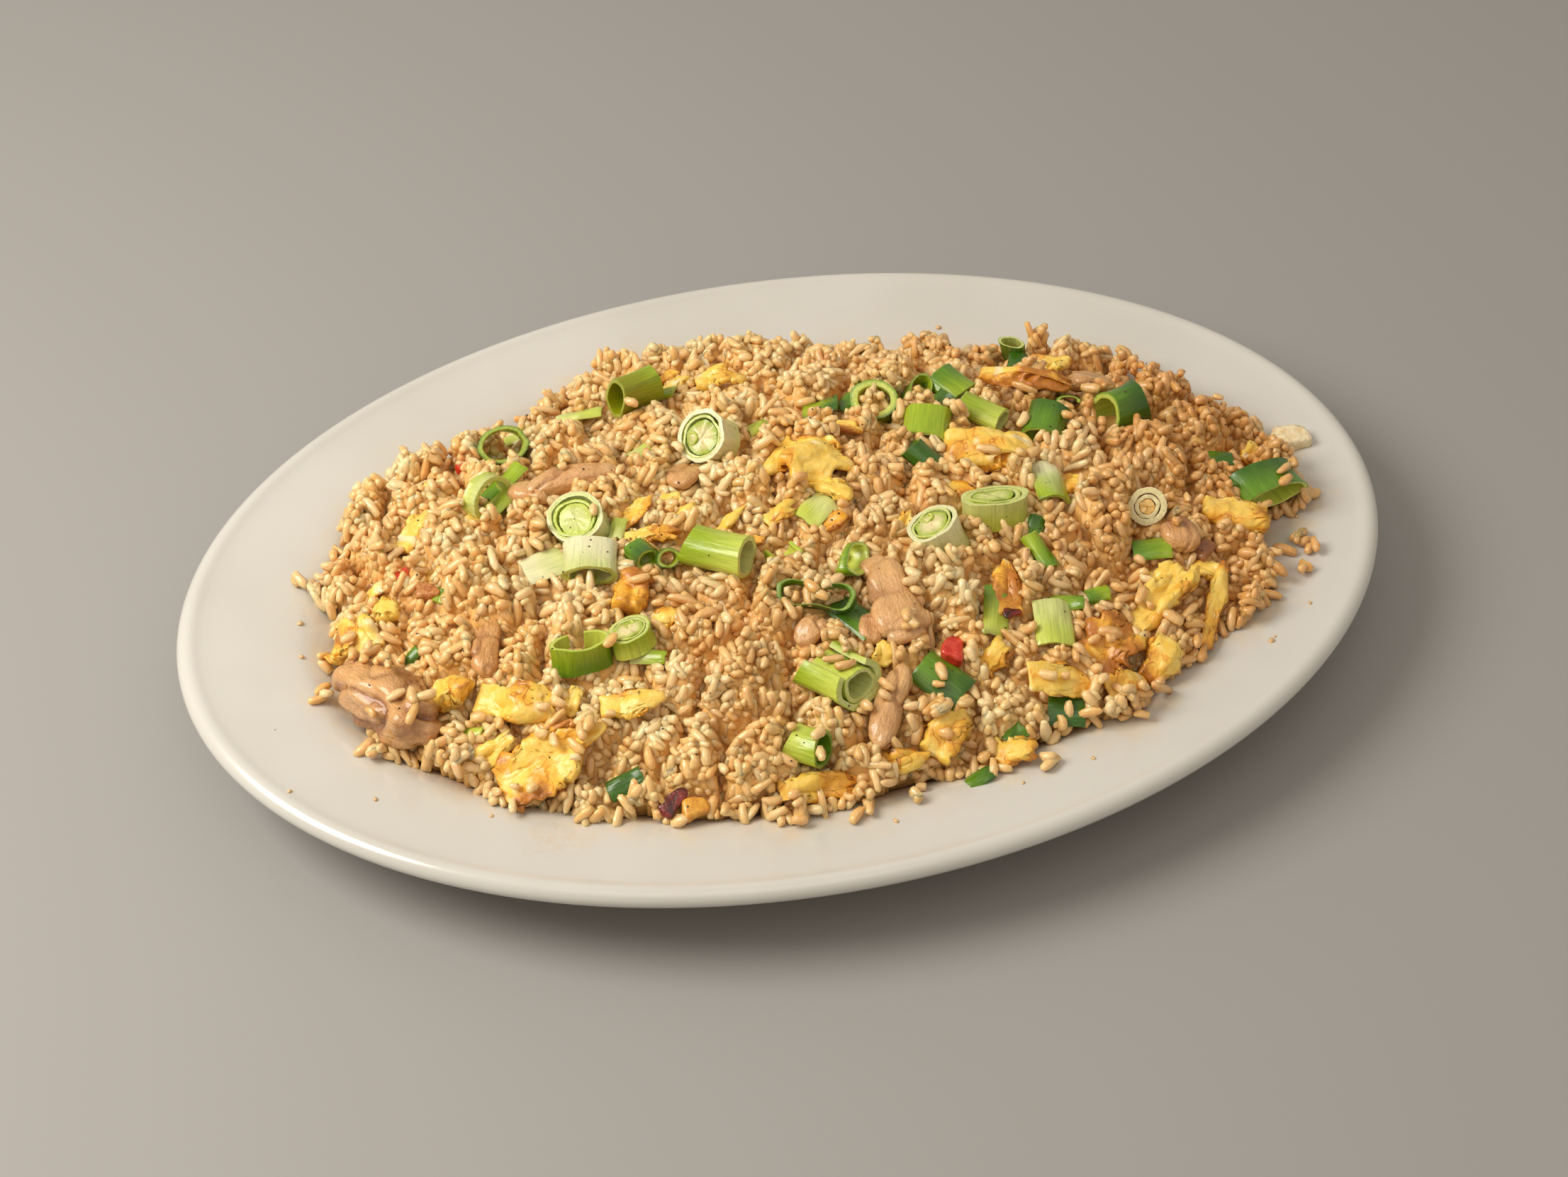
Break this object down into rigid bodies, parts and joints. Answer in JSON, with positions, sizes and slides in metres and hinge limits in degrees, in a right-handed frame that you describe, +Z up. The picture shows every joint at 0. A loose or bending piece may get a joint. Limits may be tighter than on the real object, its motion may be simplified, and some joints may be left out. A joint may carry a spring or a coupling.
{
  "type": "fried rice plate",
  "caption": "Oval cream platter heaped with chicken fried rice, with pieces of egg, chicken and scallion, for a set table.",
  "frame": {"origin": "on the table under the middle of the platter", "axes": "+Z up, +X along the platter's long axis"},
  "size_m": [0.318, 0.2286, 0.05],
  "materials": {
    "glaze": "cream-white vitrified china with a clear glossy glaze",
    "rice": "oily fried rice, translucent tan grains with a soft gloss",
    "chicken": "moist cooked chicken, pink-tan with browned edges",
    "egg": "fried egg, yellow with golden brown patches",
    "scallion_green": "green scallion leaf, ribbed and waxy",
    "scallion_white": "pale green to white scallion stem, ribbed, moist"
  },
  "bodies": {
    "root": {"plate": "glaze", "rice_heap": "rice", "chicken_long": "chicken", "chicken_lump": "chicken", "chicken_slab": "chicken", "chicken_lower": "chicken", "chicken_pink": "chicken", "chicken_grey": "chicken", "egg_big": "egg", "egg_chunk": "egg", "egg_log": "egg", "egg_behind": "egg", "egg_back": "egg", "egg_left_strip": "egg", "egg_left_chunk": "egg", "egg_left_low": "egg", "egg_right": "egg", "egg_near": "egg", "egg_puff": "egg", "egg_blob": "egg", "chicken_sliver": "chicken", "egg_fold": "egg", "egg_sheet": "egg", "egg_sixty": "egg", "egg_strip_left": "egg", "egg_twist": "egg", "egg_ruffle": "egg", "egg_sheet_near": "egg", "egg_brown_strip": "egg", "egg_curl": "egg", "egg_tip_strip": "egg", "egg_strip_mid": "egg", "egg_curl_near": "egg", "scallion_strip_back": "scallion_white", "scallion_leaf_mid": "scallion_green", "scallion_curved": "scallion_white", "scallion_rect": "scallion_white", "scallion_wide_leaf": "scallion_green", "scallion_leaf_back": "scallion_green", "scallion_ring_left": "scallion_green", "scallion_loop_left": "scallion_white", "scallion_ring_big": "scallion_white", "scallion_rib_left": "scallion_white", "scallion_white_core": "scallion_white", "scallion_oval_ring": "scallion_white", "scallion_bright_mid": "scallion_green", "scallion_tube_mid": "scallion_green", "scallion_big_dark": "scallion_green", "scallion_green_tube": "scallion_green", "scallion_half_right": "scallion_green", "scallion_big_pale": "scallion_white", "scallion_white_mid": "scallion_white", "scallion_white_right": "scallion_white", "scallion_pointed": "scallion_green", "scallion_bright_low": "scallion_green", "scallion_c_ring": "scallion_green", "scallion_light_ring": "scallion_white", "scallion_double": "scallion_green", "scallion_folded": "scallion_white", "scallion_pale_half": "scallion_white"}
  },
  "joints": []
}
